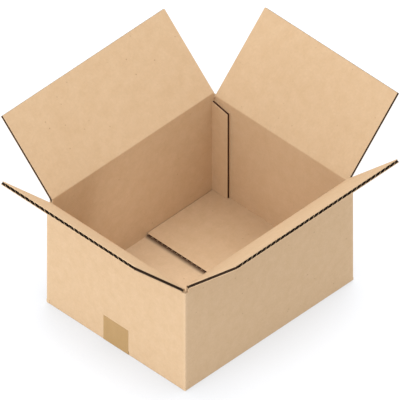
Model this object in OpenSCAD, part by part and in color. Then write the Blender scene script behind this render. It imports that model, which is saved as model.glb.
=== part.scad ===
// Open shipping box of single-wall corrugated board, folded from one scored and slotted sheet.
// +X runs along the length, +Y along the width and +Z up. The box stands on z = 0.

/* [Box] */
// Clear length inside, between the end walls
inside_length = 300; // [200:1:600]
// Clear width inside, between the side walls
inside_width = 243; // [150:1:500]
// Clear height from the floor to the closed end flaps
inside_depth = 151.5; // [80:0.5:400]
// Thickness of the corrugated board
board = 5; // [3:0.1:8]

/* [Flutes] */
// Spacing of the flutes, crest to crest
flute_pitch = 8.8; // [6:0.1:12]
// Thickness of the flat liner on each face
liner = 0.8; // [0.3:0.05:1]
// Thickness of the waved middle sheet, measured across the board
medium = 0.8; // [0.5:0.05:1]

/* [Flaps] */
// Outward tilt of the long top flaps from upright
side_flap_tilt = 45.5; // [0:0.5:120]
// Outward tilt of the short top flaps from upright
end_flap_tilt = 44; // [0:0.5:120]
// Distance from a top flap's side edge to the inner face of the wall beside it
flap_side_gap = 1; // [0.3:0.1:10]
// Gap between two long flaps where they meet
seam_gap = 4; // [0.4:0.1:8]

/* [Glue tab] */
// Width of the glue tab inside the rear corner
tab_width = 28; // [15:1:60]
// Drop of the tab's slanted top, from the corner to its free edge
tab_slant = 6; // [0:0.5:20]

/* [Tape] */
// Width of the sealing tape
tape_width = 45; // [20:1:80]
// Height of the tape's ends on the end walls
tape_rise = 41; // [15:1:70]
// Thickness of the tape
tape = 0.2; // [0.1:0.05:0.4]

/* [Hidden] */
$fn = 48;
kraft = [0.76, 0.60, 0.42];
tan_tape = [0.66, 0.52, 0.33];

// Outer sizes of the walls
length = inside_length + board * 2;
width = inside_width + board * 2;

// Bottom: tape, outer flaps, a small gap, inner flaps
layer_gap = 0.3;
inner_flap_z = tape + board + layer_gap;
floor_z = inner_flap_z + board;

// Score lines of the top flaps: the long flaps close over the short ones
end_score_z = floor_z + inside_depth + board;
side_score_z = end_score_z + board + layer_gap;

// Turning axes lie this far outside the walls, and both sides of a score stay this far from the axis
hinge_gap = 0.15;
score_gap = 0.4;

// Flap lengths: the sheet's edge is one straight cut, so the short walls have the longer flaps
side_flap = (width - seam_gap) / 2;
end_flap = min(side_flap + side_score_z - end_score_z, (length - seam_gap) / 2);
flap_inset = board + flap_side_gap;
side_flap_width = length - flap_inset * 2;
end_flap_width = width - flap_inset * 2;

// The walls are whole up to the inner edge of the lower scores, and the slots end level with the outer edge
wall_root_z = end_score_z - board - score_gap;
slot_z = end_score_z - score_gap;

// Folds: outer rounding, a tighter one under the end walls, and the band where the flutes are crushed shut
fold_radius = board * 0.3;
end_fold_radius = board * 0.12;
crush = board * 2;

// Bottom flaps: setback of the outer ones from the end walls, and width of the inner ones
end_setback = board * 0.06;
floor_flap_side_gap = board * 0.16;
floor_flap_width = inside_width - floor_flap_side_gap * 2;

// Glue tab: its distance from the floor and the slots, and how far it runs into the walls it is part of
tab_end_gap = board * 0.1;
tab_bond = board * 0.5;

// Wave of the middle sheet, sampled at shares of the pitch to each side of a flute's middle
wave_height = board / 2 - liner - medium / 2;
end_share = 0.42;
slope_share = 0.2;
wave_shares = [-end_share, -slope_share, 0, slope_share, end_share];

// Extra reach of every cutting shape
overrun = board;

// Extrudes a profile drawn in Y and Z along X, centred
module along_x(run) {
  rotate([90, 0, 90]) linear_extrude(run, center = true) children();
}

// Extrudes a profile drawn in X and Z along Y, centred
module along_y(run) {
  rotate([90, 0, 0]) linear_extrude(run, center = true) children();
}

// What a rounding removes from a square corner at the origin
module corner_cut(radius) {
  difference() {
    translate([-overrun, -overrun]) square(radius + overrun);
    translate([radius, radius]) circle(radius);
  }
}

// Surface of the middle sheet under a flute, at a share of the pitch from the flute's middle
function wave(share) = board / 2 - wave_height * cos(360 * share) + medium / 2;

// Hollow of one flute against the inner liner
function flute_hollow(pitch) = concat(
  [for (share = wave_shares) [share * pitch, wave(share)]],
  [[end_share * pitch, board - liner], [-end_share * pitch, board - liner]]
);

// Section of all hollows across a panel; half flutes lie open along both side edges
module flute_hollows(panel_width) {
  count = round(panel_width / flute_pitch);
  pitch = panel_width / count;
  hollow = flute_hollow(pitch);
  turned_hollow = [for (point = hollow) [point[0], board - point[1]]];
  for (i = [0 : count]) {
    translate([i * pitch - panel_width / 2, 0]) polygon(hollow);
  }
  for (i = [1 : count]) {
    translate([(i - 1 / 2) * pitch - panel_width / 2, 0]) polygon(turned_hollow);
  }
}

// Wall outline seen from above: three folded corners, and a raw edge beside a fold at the glued corner
module wall_outline() {
  difference() {
    square([length, width], center = true);
    translate([-length / 2, -width / 2]) corner_cut(fold_radius);
    translate([length / 2, -width / 2]) rotate(90) corner_cut(fold_radius);
    translate([-length / 2, width / 2]) rotate(-90) corner_cut(fold_radius);
    translate([length / 2 - board, width / 2]) glued_corner_groove();
  }
}

// Groove between the raw edge of the end wall and the fold of the glue tab
module glued_corner_groove() {
  difference() {
    translate([-fold_radius, -fold_radius]) square([fold_radius, fold_radius + overrun]);
    translate([-fold_radius, -fold_radius]) circle(fold_radius);
  }
}

// Four walls up to the scores; the end walls start at their own lower folds
module wall_ring() {
  translate([0, 0, inner_flap_z]) linear_extrude(wall_root_z - inner_flap_z) difference() {
    wall_outline();
    square([inside_length, inside_width], center = true);
  }
  translate([0, 0, tape]) linear_extrude(inner_flap_z - tape) difference() {
    wall_outline();
    square([length + overrun, inside_width], center = true);
  }
}

// Corners of the side walls up to the bottom of the slots
module corner_posts() {
  translate([0, 0, wall_root_z - board]) linear_extrude(slot_z - wall_root_z + board) difference() {
    wall_outline();
    square([length + overrun, inside_width], center = true);
    square([side_flap_width, width + overrun], center = true);
  }
}

// Top of a wall between the corner slots, cut back to the score line, for the wall at -Y of a box this wide
module wall_top(across, run, score_z) {
  translate([0, -across / 2, 0]) along_x(run) polygon([
    [0, wall_root_z - board],
    [board, wall_root_z - board],
    [board, score_z - board - score_gap],
    [0, score_z - score_gap]
  ]);
}

module wall_tops() {
  for (turn = [0, 180]) {
    rotate(turn) wall_top(width, side_flap_width, side_score_z);
    rotate(turn + 90) wall_top(length, inside_width, end_score_z);
  }
}

// Outer flaps of the bottom, on the side walls, meeting at the seam
module outer_bottom_flaps() {
  run = length - end_setback * 2;
  for (turn = [0, 180]) {
    rotate(turn) translate([-run / 2, -width / 2, tape]) cube([run, side_flap, board]);
  }
}

// Inner flaps of the bottom, on the end walls, with their flutes open at the free edges
module inner_bottom_flaps() {
  for (turn = [0, 180]) {
    rotate(turn) translate([-length / 2, 0, inner_flap_z]) difference() {
      translate([0, -floor_flap_width / 2, 0]) cube([end_flap, floor_flap_width, board]);
      translate([crush, 0, 0]) rotate([90, 0, 90]) linear_extrude(end_flap) flute_hollows(floor_flap_width);
    }
  }
}

// Glue tab of the back wall, glued to the inner face of the right end wall
// Half a flute lies open along its free edge
module glue_tab() {
  corner_y = inside_width / 2;
  top_z = wall_root_z - tab_end_gap;
  bottom_z = floor_z + tab_end_gap;
  difference() {
    translate([length / 2 - board * 2, 0, 0]) rotate([90, 0, 90]) linear_extrude(board + tab_bond) polygon([
      [corner_y - tab_width, bottom_z],
      [corner_y + tab_bond, bottom_z],
      [corner_y + tab_bond, top_z],
      [corner_y, top_z],
      [corner_y - tab_width, top_z - tab_slant]
    ]);
    translate([length / 2 - board, corner_y - tab_width, bottom_z]) rotate(90) {
      linear_extrude(top_z - bottom_z) polygon(flute_hollow(flute_pitch));
    }
  }
}

// Rounded outer edges of the bottom folds
module bottom_fold_cuts() {
  for (turn = [0, 180]) {
    rotate(turn) translate([0, -width / 2, tape]) along_x(length + overrun) corner_cut(fold_radius);
    rotate(turn) translate([-length / 2, 0, inner_flap_z]) along_y(inside_width) corner_cut(end_fold_radius);
  }
}

module box_body() {
  color(kraft) difference() {
    union() {
      wall_ring();
      corner_posts();
      wall_tops();
      outer_bottom_flaps();
      inner_bottom_flaps();
      glue_tab();
    }
    bottom_fold_cuts();
  }
}

// A top flap standing upright on its turning axis at the origin, its outer face towards -Y
module upright_flap(reach, run) {
  end = reach + hinge_gap;
  difference() {
    translate([0, hinge_gap, 0]) along_x(run) polygon([
      [0, score_gap],
      [board, score_gap + board],
      [board, end],
      [0, end]
    ]);
    translate([0, hinge_gap, crush]) linear_extrude(end) flute_hollows(run);
  }
}

// A top flap on the wall at -Y of a box this wide, tilted outward
module top_flap(across, reach, run, score_z, tilt) {
  color(kraft) translate([0, -across / 2 - hinge_gap, score_z]) rotate([tilt, 0, 0]) {
    upright_flap(reach, run);
  }
}

module front_top_flap() {
  top_flap(width, side_flap, side_flap_width, side_score_z, side_flap_tilt);
}

module back_top_flap() {
  rotate(180) top_flap(width, side_flap, side_flap_width, side_score_z, side_flap_tilt);
}

module left_top_flap() {
  rotate(-90) top_flap(length, end_flap, end_flap_width, end_score_z, end_flap_tilt);
}

module right_top_flap() {
  rotate(90) top_flap(length, end_flap, end_flap_width, end_score_z, end_flap_tilt);
}

// Strip of tape under the seam, turned up both end walls
module bottom_tape() {
  outer_radius = end_setback + tape;
  color(tan_tape) along_y(tape_width) difference() {
    translate([-length / 2 - tape, 0]) square([length + tape * 2, tape_rise]);
    translate([-length / 2 - tape, 0]) corner_cut(outer_radius);
    translate([length / 2 + tape, 0]) rotate(90) corner_cut(outer_radius);
    difference() {
      translate([-length / 2, tape]) square([length, tape_rise]);
      translate([-length / 2, tape]) corner_cut(end_setback);
      translate([length / 2, tape]) rotate(90) corner_cut(end_setback);
    }
  }
}

box_body();
front_top_flap();
back_top_flap();
left_top_flap();
right_top_flap();
bottom_tape();
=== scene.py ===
import math
from collections import namedtuple

import bmesh
import bpy
from mathutils import Matrix, Vector


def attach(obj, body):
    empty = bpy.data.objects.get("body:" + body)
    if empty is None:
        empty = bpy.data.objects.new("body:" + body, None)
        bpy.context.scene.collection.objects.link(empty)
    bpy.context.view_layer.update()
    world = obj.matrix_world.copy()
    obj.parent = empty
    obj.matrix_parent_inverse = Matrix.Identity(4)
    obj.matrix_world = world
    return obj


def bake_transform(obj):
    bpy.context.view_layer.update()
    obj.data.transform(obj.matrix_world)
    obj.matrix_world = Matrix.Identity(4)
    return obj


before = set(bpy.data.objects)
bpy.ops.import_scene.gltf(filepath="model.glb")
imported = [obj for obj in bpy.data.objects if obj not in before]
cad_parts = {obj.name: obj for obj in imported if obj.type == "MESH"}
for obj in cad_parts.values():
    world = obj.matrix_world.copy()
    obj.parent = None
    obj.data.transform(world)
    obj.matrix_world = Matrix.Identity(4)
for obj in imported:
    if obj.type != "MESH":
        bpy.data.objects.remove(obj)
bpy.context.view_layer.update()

MM = 0.001
scene = bpy.context.scene

# Driving sizes of the box, in metres and degrees, as in its source
INSIDE_LENGTH = 300 * MM
INSIDE_WIDTH = 243 * MM
INSIDE_DEPTH = 151.5 * MM
BOARD = 5 * MM
FLUTE_PITCH = 8.8 * MM
LINER = 0.8 * MM
SIDE_FLAP_TILT = 45.5
END_FLAP_TILT = 44
FLAP_SIDE_GAP = 1 * MM
SEAM_GAP = 4 * MM
TAB_WIDTH = 28 * MM
TAPE = 0.2 * MM
LAYER_GAP = 0.3 * MM
HINGE_GAP = 0.15 * MM
SCORE_GAP = 0.4 * MM

# Outer sizes, and heights of both floor layers, the scores and the corner slots
LENGTH = INSIDE_LENGTH + 2 * BOARD
WIDTH = INSIDE_WIDTH + 2 * BOARD
LOW_FLOOR = TAPE + BOARD
FLOOR_TOP = LOW_FLOOR + LAYER_GAP + BOARD
END_SCORE_Z = FLOOR_TOP + INSIDE_DEPTH + BOARD
SIDE_SCORE_Z = END_SCORE_Z + BOARD + LAYER_GAP
SLOT_Z = END_SCORE_Z - SCORE_GAP

# Flaps: run along the fold and reach from it, and where the inner floor flaps end
FLAP_INSET = BOARD + FLAP_SIDE_GAP
SIDE_RUN = LENGTH - 2 * FLAP_INSET
END_RUN = WIDTH - 2 * FLAP_INSET
SIDE_REACH = (WIDTH - SEAM_GAP) / 2
END_REACH = SIDE_REACH + SIDE_SCORE_Z - END_SCORE_Z
FLOOR_FLAP_EDGE_X = LENGTH / 2 - END_REACH

# Top flaps: turn of the wall about Z, outward tilt, size of the box across the fold, height of the score, run
# and reach
Flap = namedtuple("Flap", "side turn tilt across score_z run reach")
LONG_FLAP = (SIDE_FLAP_TILT, WIDTH, SIDE_SCORE_Z, SIDE_RUN, SIDE_REACH)
SHORT_FLAP = (END_FLAP_TILT, LENGTH, END_SCORE_Z, END_RUN, END_REACH)
FLAPS = (
    Flap("front", 0, *LONG_FLAP),
    Flap("back", 180, *LONG_FLAP),
    Flap("left", -90, *SHORT_FLAP),
    Flap("right", 90, *SHORT_FLAP),
)
# Folds whose ends are painted dark as shade on the wall as well as on the flap
SHADED_SLOTS = ("back", "right")


def fold_frame(flap):
    """Frame of a flap's turning axis: X along the fold, Y inward across the wall, Z up."""
    turned = Matrix.Rotation(math.radians(flap.turn), 4, "Z")
    return turned @ Matrix.Translation((0, -flap.across / 2 - HINGE_GAP, flap.score_z))


def linear(hex_colour):
    """An sRGB hex colour as linear RGBA."""
    parts = [int(hex_colour[i : i + 2], 16) / 255 for i in (1, 3, 5)]
    return [c / 12.92 if c <= 0.04045 else ((c + 0.055) / 1.055) ** 2.4 for c in parts] + [1.0]


def add(material, kind, settings=None, **links):
    """Adds a shader node. Settings are its properties; links are its sockets, by name or by number as in i0,
    each fed from another socket or set to a plain value."""
    tree = material.node_tree
    node = tree.nodes.new("ShaderNode" + kind)
    for name, value in (settings or {}).items():
        setattr(node, name, value)
    for name, value in links.items():
        key = int(name[1:]) if name[0] == "i" and name[1:].isdigit() else name.replace("_", " ")
        socket = node.inputs[key]
        if isinstance(value, bpy.types.NodeSocket):
            tree.links.new(value, socket)
        else:
            socket.default_value = value
    return node


# Settings of a Mix node that mixes or multiplies colours, which are its inputs 6 and 7 and its output 2
COLOUR = {"data_type": "RGBA"}
COLOUR_PRODUCT = {"data_type": "RGBA", "blend_type": "MULTIPLY"}


def new_material(name):
    material = bpy.data.materials.new(name)
    material.use_nodes = True
    material.node_tree.nodes.clear()
    return material


# Kraft linerboard: unbleached paper pressed smooth on a hot drum. It gives the eye a matte warm tan with soft
# clouds from uneven fibre, sparse dark flecks of bark and a faint ripple where it is glued to the flutes.
KRAFT_PALE = "#CAAD8B"
KRAFT_DEEP = "#C5A784"
KRAFT_FLECK = "#8A6A4A"
CLOUD_WIDTH = 14 * MM
FIBRE_LENGTH = 3 * MM
# Flecks are under 1 mm across; they are drawn about 2 mm so that they show, at most one in a cell
FLECK_CELL = 12 * MM
RIPPLE_HEIGHT = 0.05 * MM
TOOTH_HEIGHT = 0.06 * MM
# Spacing of a wave texture's bands at a scale of 1
WAVE_SPACING = 2 * math.pi / 20

# Folded corners are rubbed paler with a painted highlight, and the low floor between the inner flaps is paler
KRAFT_PALER_TONE = "#DDC6A9"
RUB_AND_HIGHLIGHT_WIDTH = 4 * MM
CORNER_RUB_AND_HIGHLIGHT = 0.14
LOW_FLOOR_PALER = 0.12

# Cut board: the shade in the open flutes between the liners is painted as a dark line, broken once a flute by
# the waved sheet. Inside the box this painted shade is a redder brown.
CORE_SHADE = "#2C1D12"
INSIDE_CORE_SHADE = "#3C1A0C"
PALE_RIM = 1.2 * MM
NICK_SPREAD = 12 * MM
SLOT_SHADE = 0.35
# The open half flute at a side edge has its shade painted dark
# At a side edge the cut leaves half a flute open, with these rims beside the outer and the inner face
OUTER_SIDE_RIM = 1.5 * MM
INNER_SIDE_RIM = 0.8 * MM
SIDE_HOLLOW = 4.5 * MM

# Cut of the inner floor flaps, as depths under the floor: painted shade, dark upper flutes and a half dark
# row below
UPPER_ROW = (0.5 * MM, 2.8 * MM)
LOWER_ROW = (3.1 * MM, 5.1 * MM)
LOWER_ROW_SHADE = 0.72
FLOOR_CUT_DEPTH = 6 * MM
# Painted shade on the outer floor flaps along the step down to them
STEP_SHADE_WIDTH = 3.2 * MM
STEP_SHADE_DARK = 0.6

# Margin between a mask and the edge that it follows, and a place far outside the box for a mask's open end
EDGE = 0.2 * MM
FAR = 1.0


def inside(m, value, low, high, soft=0.1 * MM):
    """1 where a coordinate lies between two values, with soft ends."""
    smooth = {"interpolation_type": "SMOOTHSTEP"}
    rise = add(m, "MapRange", smooth, Value=value, From_Min=low - soft, From_Max=low + soft)
    fall = add(m, "MapRange", smooth, Value=value, From_Min=high - soft, From_Max=high + soft,
               To_Min=1.0, To_Max=0.0)
    return both(m, rise.outputs["Result"], fall.outputs["Result"])


def both(m, *masks):
    """The product of some masks; all but the first may be plain shares."""
    out = masks[0]
    for mask in masks[1:]:
        out = add(m, "Math", {"operation": "MULTIPLY"}, i0=out, i1=mask).outputs[0]
    return out


def either(m, *masks):
    """The largest of some masks."""
    out = masks[0]
    for mask in masks[1:]:
        out = add(m, "Math", {"operation": "MAXIMUM"}, i0=out, i1=mask).outputs[0]
    return out


def flecks(m, where):
    """Mask of the dark flecks."""
    cells = add(m, "TexVoronoi", Vector=where, Scale=1 / FLECK_CELL, Randomness=1.0)
    spot = add(m, "MapRange", Value=cells.outputs["Distance"], From_Min=0.05, From_Max=0.11,
               To_Min=1.0, To_Max=0.0)
    pick = add(m, "SeparateColor", Color=cells.outputs["Color"])
    strength = add(m, "MapRange", Value=pick.outputs[0], From_Min=0.4, From_Max=1.0, To_Min=0.0, To_Max=0.6)
    return both(m, spot.outputs["Result"], strength.outputs["Result"])


def kraft_board(name, core, ripple, paler_paper=None, core_shade_colour=CORE_SHADE):
    """The core and paler-paper functions turn the Object coordinates into masks of painted shade on the cut
    core and of paler paper, partly a painted highlight; ripple turns them into the coordinates of the flutes."""
    m = new_material(name)
    where = add(m, "TexCoord").outputs["Object"]

    # Each layer of the paper's colour is mixed over the last
    clouds = add(m, "TexNoise", Vector=where, Scale=1 / CLOUD_WIDTH, Detail=3.0, Roughness=0.6)
    fibres = add(m, "TexNoise", Vector=where, Scale=1 / FIBRE_LENGTH, Detail=3.0, Roughness=0.6)
    cloudy = add(m, "MapRange", Value=clouds.outputs["Fac"], From_Min=0.3, From_Max=0.7)
    paper = add(m, "Mix", COLOUR, Factor=cloudy.outputs["Result"],
                i6=linear(KRAFT_PALE), i7=linear(KRAFT_DEEP))
    # Paler paper: rubbed folds with a painted highlight, and a paler low floor
    if paler_paper:
        paper = add(m, "Mix", COLOUR, Factor=paler_paper(m, where), i6=paper.outputs[2], i7=linear(KRAFT_PALER_TONE))
    grain = add(m, "MapRange", Value=fibres.outputs["Fac"], From_Min=0.25, From_Max=0.75,
                To_Min=0.96, To_Max=1.04)
    paper = add(m, "Mix", COLOUR_PRODUCT, Factor=1.0, i6=paper.outputs[2], i7=grain.outputs["Result"])
    paper = add(m, "Mix", COLOUR, Factor=flecks(m, where), i6=paper.outputs[2], i7=linear(KRAFT_FLECK))
    # Painted shade over the cut core and its open flutes
    paper = add(m, "Mix", COLOUR, Factor=core(m, where), i6=paper.outputs[2], i7=linear(core_shade_colour))

    # Ripple of the flutes under the liner, and paper tooth
    wave = add(m, "TexWave", {"bands_direction": "X"}, Vector=ripple(m, where),
               Scale=WAVE_SPACING / FLUTE_PITCH, Distortion=0.3)
    rippled = add(m, "Bump", Strength=0.3, Distance=RIPPLE_HEIGHT, Height=wave.outputs["Fac"])
    tooth = add(m, "Bump", Strength=0.3, Distance=TOOTH_HEIGHT, Height=fibres.outputs["Fac"],
                Normal=rippled.outputs["Normal"])
    surface = add(m, "BsdfPrincipled", Base_Color=paper.outputs[2], Roughness=0.88, IOR=1.47,
                  Specular_IOR_Level=0.25, Normal=tooth.outputs["Normal"])
    add(m, "OutputMaterial", Surface=surface.outputs["BSDF"])
    return m


def flap_material(flap):
    """Kraft board for one top flap. Stood upright, it runs along X, is thick along Y and reaches along Z."""
    axis = fold_frame(flap).to_translation()
    turned = (math.radians(flap.tilt), 0, math.radians(flap.turn))

    def upright(m, where):
        stood = add(m, "Mapping", {"vector_type": "TEXTURE"}, Vector=where, Location=axis, Rotation=turned)
        return stood.outputs["Vector"]

    def core(m, where):
        place = add(m, "SeparateXYZ", Vector=upright(m, where))
        depth = place.outputs["Y"]
        outer = HINGE_GAP
        inner = HINGE_GAP + BOARD

        # Side edges: half a flute lies open, its shade painted dark
        off_middle = add(m, "Math", {"operation": "ABSOLUTE"}, i0=place.outputs["X"])
        at_side = inside(m, off_middle.outputs[0], flap.run / 2 - SIDE_HOLLOW, FAR)
        side = both(m, at_side, inside(m, depth, outer + OUTER_SIDE_RIM, inner - INNER_SIDE_RIM))

        # Flutes behind the free edge, their shade painted dark
        at_end = inside(m, place.outputs["Z"], HINGE_GAP + flap.reach - EDGE, FAR)
        below_end = add(m, "Math", {"operation": "SUBTRACT"}, i0=1.0, i1=at_end).outputs[0]
        hollow = both(m, below_end, inside(m, depth, outer + LINER, inner - LINER))

        # Free edge: hollows painted dark as shade, and between them the cut waved sheet, an uneven pale nick
        # once a flute
        pitch = flap.run / round(flap.run / FLUTE_PITCH)
        phase = add(m, "Math", {"operation": "MULTIPLY"}, i0=place.outputs["X"], i1=2 * math.pi / pitch)
        slope = add(m, "Math", {"operation": "SINE"}, i0=phase.outputs[0])
        nick = add(m, "MapRange", Value=slope.outputs[0], From_Min=0.3, From_Max=0.9)
        uneven = add(m, "TexNoise", Vector=where, Scale=1 / NICK_SPREAD, Detail=1.0)
        paleness = add(m, "MapRange", Value=uneven.outputs["Fac"], From_Min=0.35, From_Max=0.65,
                       To_Min=0.15, To_Max=0.75)
        pale = both(m, nick.outputs["Result"], paleness.outputs["Result"])
        dark = add(m, "Math", {"operation": "SUBTRACT"}, i0=1.0, i1=pale).outputs[0]
        wave = both(m, at_end, inside(m, depth, outer + PALE_RIM, inner - PALE_RIM), dark)
        return either(m, side, hollow, wave)

    return kraft_board("corrugated_kraft_" + flap.side + "_top_flap", core, upright)


def body_material():
    """Kraft board for walls and floor, with painted shade on the cut at the floor flaps, the glue tab and the
    slots.
    """

    def places(m, where):
        """The coordinates, and their sizes without sign."""
        size = add(m, "VectorMath", {"operation": "ABSOLUTE"}, i0=where)
        half = add(m, "SeparateXYZ", Vector=size.outputs["Vector"])
        return add(m, "SeparateXYZ", Vector=where).outputs, half.outputs

    def floor_cut_shade(m, place, half):
        """Painted shade on the free edges of the inner floor flaps, and on the floor beside them."""
        depth = add(m, "Math", {"operation": "SUBTRACT"}, i0=FLOOR_TOP, i1=place["Z"]).outputs[0]
        at_edge = both(
            m,
            inside(m, half["X"], -FAR, FLOOR_FLAP_EDGE_X + FLOOR_CUT_DEPTH),
            inside(m, half["Y"], -FAR, INSIDE_WIDTH / 2 - EDGE),
        )
        lower_row = both(m, inside(m, depth, *LOWER_ROW), LOWER_ROW_SHADE)
        beside_step = inside(m, half["X"], FLOOR_FLAP_EDGE_X - STEP_SHADE_WIDTH, FAR, soft=STEP_SHADE_WIDTH)
        on_low_floor = inside(m, place["Z"], LOW_FLOOR - EDGE, LOW_FLOOR + EDGE)
        step_shade = both(m, beside_step, on_low_floor, STEP_SHADE_DARK)
        return both(m, at_edge, either(m, inside(m, depth, *UPPER_ROW), lower_row, step_shade))

    def core(m, where):
        place, half = places(m, where)
        # Glue tab: painted shade on its free edge and its slanted top
        tab_inner = LENGTH / 2 - 2 * BOARD
        tab_edge_shade = both(
            m,
            inside(m, place["X"], tab_inner + INNER_SIDE_RIM, tab_inner + BOARD - OUTER_SIDE_RIM),
            inside(m, place["Y"], INSIDE_WIDTH / 2 - TAB_WIDTH - EDGE, INSIDE_WIDTH / 2 - EDGE),
            inside(m, place["Z"], FLOOR_TOP + EDGE, FAR),
        )
        # Corner slots: the cut at their lower ends is partly painted dark as shade
        slot_cut_shade = both(
            m,
            inside(m, half["X"], LENGTH / 2 - FLAP_INSET - EDGE, LENGTH / 2 - PALE_RIM),
            inside(m, half["Y"], INSIDE_WIDTH / 2 + PALE_RIM, WIDTH / 2 - PALE_RIM),
            inside(m, place["Z"], SLOT_Z - EDGE, FAR),
            SLOT_SHADE,
        )
        return either(m, floor_cut_shade(m, place, half), tab_edge_shade, slot_cut_shade)

    def ripple(m, where):
        # Flutes stand upright in all four walls, so the ripple runs along X plus Y
        place = add(m, "SeparateXYZ", Vector=where)
        run = add(m, "Math", {"operation": "ADD"}, i0=place.outputs["X"], i1=place.outputs["Y"])
        return add(m, "CombineXYZ", X=run.outputs[0]).outputs["Vector"]

    def paler_paper(m, where):
        # Folds rubbed paler with a painted highlight, and the low floor between the inner flaps painted paler
        place, half = places(m, where)
        corner = both(
            m,
            inside(m, half["X"], LENGTH / 2 - RUB_AND_HIGHLIGHT_WIDTH, FAR, soft=RUB_AND_HIGHLIGHT_WIDTH / 2),
            inside(m, half["Y"], WIDTH / 2 - RUB_AND_HIGHLIGHT_WIDTH, FAR, soft=RUB_AND_HIGHLIGHT_WIDTH / 2),
            CORNER_RUB_AND_HIGHLIGHT,
        )
        between = both(
            m,
            inside(m, half["X"], -FAR, FLOOR_FLAP_EDGE_X),
            inside(m, place["Z"], LOW_FLOOR - EDGE, LOW_FLOOR + EDGE),
            LOW_FLOOR_PALER,
        )
        return either(m, corner, between)

    return kraft_board("corrugated_kraft_body", core, ripple, paler_paper, INSIDE_CORE_SHADE)


# Crushed flutes at fold ends and side cuts, as painted shade: a dark brown with a slight grain from torn
# fibre
CRUSHED_SHADE_DARK = "#22160D"
CRUSHED_SHADE_PALE = "#3A281A"
TORN_FIBRE = 1 * MM


def crushed_shade_material():
    m = new_material("crushed_kraft_core_shade")
    where = add(m, "TexCoord").outputs["Object"]
    grain = add(m, "TexNoise", Vector=where, Scale=1 / TORN_FIBRE, Detail=2.0)
    torn = add(m, "Mix", COLOUR, Factor=grain.outputs["Fac"],
               i6=linear(CRUSHED_SHADE_DARK), i7=linear(CRUSHED_SHADE_PALE))
    surface = add(m, "BsdfPrincipled", Base_Color=torn.outputs[2], Roughness=0.95, Specular_IOR_Level=0.1)
    add(m, "OutputMaterial", Surface=surface.outputs["BSDF"])
    return m


# Buff polypropylene packing tape: a thin smooth film over brown glue. It gives the eye a flat, slightly olive
# tan with a soft gloss and shallow long wrinkles.
TAPE_PALE = "#AB8956"
TAPE_DEEP = "#A3804D"
WRINKLE_LENGTH = 25 * MM
WRINKLE_HEIGHT = 0.15 * MM
WRINKLE_STRETCH = 4


def tape_material():
    m = new_material("buff_packing_tape")
    where = add(m, "TexCoord").outputs["Object"]
    stretched = add(m, "Mapping", Vector=where, Scale=(1, WRINKLE_STRETCH, 1))
    clouds = add(m, "TexNoise", Vector=stretched.outputs["Vector"], Scale=1 / WRINKLE_LENGTH, Detail=3.0)
    film = add(m, "Mix", COLOUR, Factor=clouds.outputs["Fac"], i6=linear(TAPE_PALE), i7=linear(TAPE_DEEP))
    rough = add(m, "MapRange", Value=clouds.outputs["Fac"], To_Min=0.3, To_Max=0.45)
    wrinkled = add(m, "Bump", Strength=0.3, Distance=WRINKLE_HEIGHT, Height=clouds.outputs["Fac"])
    surface = add(m, "BsdfPrincipled", Base_Color=film.outputs[2], Roughness=rough.outputs["Result"],
                  IOR=1.49, Normal=wrinkled.outputs["Normal"])
    add(m, "OutputMaterial", Surface=surface.outputs["BSDF"])
    return m


def dress(obj, *materials):
    obj.data.materials.clear()
    for material in materials:
        obj.data.materials.append(material)


def extrude_outline(bm, corners, along, material=0):
    """Makes a face between some corners and extrudes it to a closed bar."""
    face = bm.faces.new([bm.verts.new(corner) for corner in corners])
    face.material_index = material
    out = bmesh.ops.extrude_face_region(bm, geom=[face])
    far_end = [v for v in out["geom"] if isinstance(v, bmesh.types.BMVert)]
    bmesh.ops.translate(bm, verts=far_end, vec=along)


def make_piece(name, bm, place, *materials):
    """Sets a bmesh in its place and makes it a dressed object."""
    bmesh.ops.transform(bm, matrix=place, verts=bm.verts)
    mesh = bpy.data.meshes.new(name)
    obj = bpy.data.objects.new(name, mesh)
    # Materials come before the faces, because clearing them would set every face back to the first one
    dress(obj, *materials)
    bm.to_mesh(mesh)
    bm.free()
    scene.collection.objects.link(obj)
    return obj


# Crease: height over the liner, lap on the wall and the flap, and rounding of its ridge
CREASE_HEIGHT = 0.1 * MM
CREASE_LAP = 1.2 * MM
RIDGE_ROUNDING = 1 * MM
SAME_PLACE = 0.001 * MM


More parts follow.
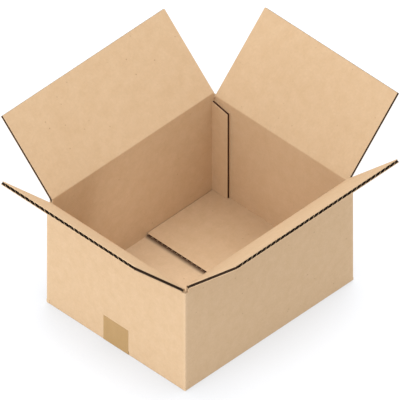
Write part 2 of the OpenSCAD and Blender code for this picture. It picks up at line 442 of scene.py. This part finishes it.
def crease(flap, liner, slot_shade, core):
    """The bent board over one score: a liner over crushed flutes that fills the V."""
    inner = HINGE_GAP + BOARD
    root = BOARD + SCORE_GAP
    upper = inner + CREASE_HEIGHT
    lower = inner - CREASE_HEIGHT
    under = inner - PALE_RIM
    lap_end = root + CREASE_LAP
    lower_root = root - 2 * CREASE_HEIGHT
    deep_root = lower_root - PALE_RIM
    lean = Matrix.Rotation(math.radians(flap.tilt), 2)
    rise = math.tan(math.radians(flap.tilt) / 2)

    def on_wall(y, z):
        return Vector((y, -z))

    def on_flap(y, z):
        return lean @ Vector((y, z))

    def between(y):
        return Vector((y, y * rise))

    ridge = between(upper)
    sheet = [on_wall(upper, lap_end), ridge, on_flap(upper, lap_end)]
    sheet += [on_flap(lower, lap_end), on_flap(lower, lower_root), on_flap(under, deep_root)]
    sheet += [between(under)]
    sheet += [on_wall(under, deep_root), on_wall(lower, lower_root), on_wall(lower, lap_end)]
    bottom = Vector((HINGE_GAP + CREASE_HEIGHT, CREASE_HEIGHT))
    wall_side = [on_wall(under, deep_root), between(under), bottom]
    flap_side = [between(under), on_flap(under, deep_root), bottom]

    # The crushed flutes under the liner are painted dark as shade on the flap side, and on the wall side at
    # some folds
    bm = bmesh.new()
    for material, outline in enumerate((sheet, wall_side, flap_side)):
        corners = [(-flap.run / 2, point.x, point.y) for point in outline]
        extrude_outline(bm, corners, (flap.run, 0, 0), material)
    top = [e for e in bm.edges if all((v.co.yz - ridge).length < SAME_PLACE for v in e.verts)]
    bmesh.ops.bevel(bm, geom=top, offset=RIDGE_ROUNDING, offset_type="OFFSET", affect="EDGES", segments=4,
                    profile=0.5, material=-1)
    bmesh.ops.recalc_face_normals(bm, faces=bm.faces)
    place = fold_frame(flap)
    obj = make_piece(flap.side + "_crease", bm, place, liner, slot_shade, core)
    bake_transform(obj)


# The half flutes at the side cuts are filled with dark pieces of painted shade
# Half flutes at the side cuts, between the waved sheet and the inner liner: corners of their section, in mm
# from the side edge and from the outer face, and where they start and stop along the flap's reach
SIDE_CORE_SECTION = [(0.4, 1.5), (1.8, 2.4), (3.2, 3.6), (3.2, 4.3), (0.4, 4.3)]
SIDE_CORE_START = 12 * MM
SIDE_CORE_STOP = 0.3 * MM


def side_shade_cores(flap, core):
    """Dark pieces of painted shade in the half flutes along both side cuts of a flap, a little inside its
    edges.
    """
    length = flap.reach - SIDE_CORE_STOP - SIDE_CORE_START
    bm = bmesh.new()
    for sign in (-1, 1):
        corners = [
            (sign * (flap.run / 2 - x * MM), HINGE_GAP + y * MM, SIDE_CORE_START)
            for x, y in SIDE_CORE_SECTION
        ]
        extrude_outline(bm, corners, (0, 0, length))
    bmesh.ops.recalc_face_normals(bm, faces=bm.faces)
    place = fold_frame(flap) @ Matrix.Rotation(math.radians(flap.tilt), 4, "X")
    obj = make_piece(flap.side + "_side_shade_cores", bm, place, core)
    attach(obj, flap.side + "_flap")


body_kraft = body_material()
crushed_shade = crushed_shade_material()
dress(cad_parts["box_body"], body_kraft)
dress(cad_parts["bottom_tape"], tape_material())
for flap in FLAPS:
    dress(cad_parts[flap.side + "_top_flap"], flap_material(flap))
    slot_shade = crushed_shade if flap.side in SHADED_SLOTS else body_kraft
    crease(flap, body_kraft, slot_shade, crushed_shade)
    side_shade_cores(flap, crushed_shade)

# Floor: a pale grey that mostly glows white by itself. The glow is held back where the box stands close, as a
# soft shadow that leans to the left
FLOOR_GREY = "#90959D"
FLOOR_HALF_SIZE = 6.0
FLOOR_DROP = 0.4 * MM
SHADOW_REACH = 75 * MM
SHADOW_LEAN = 0.3
SHADOW_RISE = 0.95
SHADOW_GLOW = 0.48
OPEN_GLOW = 0.73
WHITE = "#FFFFFF"


def floor_material():
    m = new_material("studio_floor")
    soft = add(m, "BsdfDiffuse", Color=linear(FLOOR_GREY))
    leaning = add(m, "CombineXYZ", X=SHADOW_LEAN, Z=SHADOW_RISE)
    near = add(m, "AmbientOcclusion", {"samples": 16}, Distance=SHADOW_REACH,
               Normal=leaning.outputs["Vector"])
    held = add(m, "MapRange", Value=near.outputs["AO"], To_Min=SHADOW_GLOW, To_Max=OPEN_GLOW)
    glow = add(m, "Emission", Color=linear(WHITE), Strength=held.outputs["Result"])
    lit = add(m, "AddShader", i0=soft.outputs["BSDF"], i1=glow.outputs["Emission"])
    add(m, "OutputMaterial", Surface=lit.outputs["Shader"])
    return m


floor_bm = bmesh.new()
bmesh.ops.create_grid(floor_bm, x_segments=1, y_segments=1, size=FLOOR_HALF_SIZE)
floor = make_piece("floor", floor_bm, Matrix.Translation((0, 0, -FLOOR_DROP)), floor_material())

# Light: an even white room, a wide soft box above on the right, a high and a low one on the left, a weak low
# one at the right front and a small cool fill in the mouth of the box
FILL_WHITE = "#F0F6FF"
world = bpy.data.worlds.new("studio")
scene.world = world
world.use_nodes = True
room = world.node_tree.nodes["Background"]
room.inputs["Color"].default_value = linear(WHITE)
room.inputs["Strength"].default_value = 1.0


def soft_box(name, place, aim, size, power, colour=WHITE):
    light = bpy.data.lights.new(name, "AREA")
    light.shape = "SQUARE"
    light.size = size
    light.energy = power
    light.color = linear(colour)[:3]
    lamp = bpy.data.objects.new(name, light)
    lamp.location = place
    lamp.rotation_euler = (Vector(aim) - Vector(place)).to_track_quat("-Z", "Y").to_euler()
    lamp.visible_camera = False
    scene.collection.objects.link(lamp)


soft_box("overhead", place=(0.8, 0.35, 1.8), aim=(0.0, 0.0, 0.15), size=1.6, power=16.0)
soft_box("left_high", place=(-1.1, -0.1, 1.5), aim=(0.05, 0.0, 0.1), size=0.8, power=4.5)
soft_box("left_low", place=(-1.8, 0.1, 0.25), aim=(0.0, 0.0, 0.06), size=0.8, power=12.5)
soft_box("right_low", place=(0.8, -0.9, 0.12), aim=(0.13, -0.12, 0.04), size=0.4, power=0.2)
soft_box("mouth_fill", place=(-0.1, -0.02, 0.105), aim=(0.15, -0.03, 0.07), size=0.08, power=0.14,
         colour=FILL_WHITE)

# Camera: a parallel view at the photo's angle and scale
AZIMUTH = math.radians(-45.37)
ELEVATION = math.radians(40.88)
IMAGE_PIXELS = 400
PIXEL = 1.2952 * MM
AIM_HEIGHT = 155.94 * MM
CAMERA_DISTANCE = 2.5
camera_data = bpy.data.cameras.new("camera")
camera_data.type = "ORTHO"
camera_data.ortho_scale = IMAGE_PIXELS * PIXEL
camera = bpy.data.objects.new("camera", camera_data)
level = math.cos(ELEVATION)
look = Vector((-math.sin(AZIMUTH) * level, math.cos(AZIMUTH) * level, -math.sin(ELEVATION)))
camera.location = Vector((0, 0, AIM_HEIGHT)) - look * CAMERA_DISTANCE
camera.rotation_euler = look.to_track_quat("-Z", "Y").to_euler()
scene.collection.objects.link(camera)
scene.camera = camera
scene.view_settings.view_transform = "Standard"
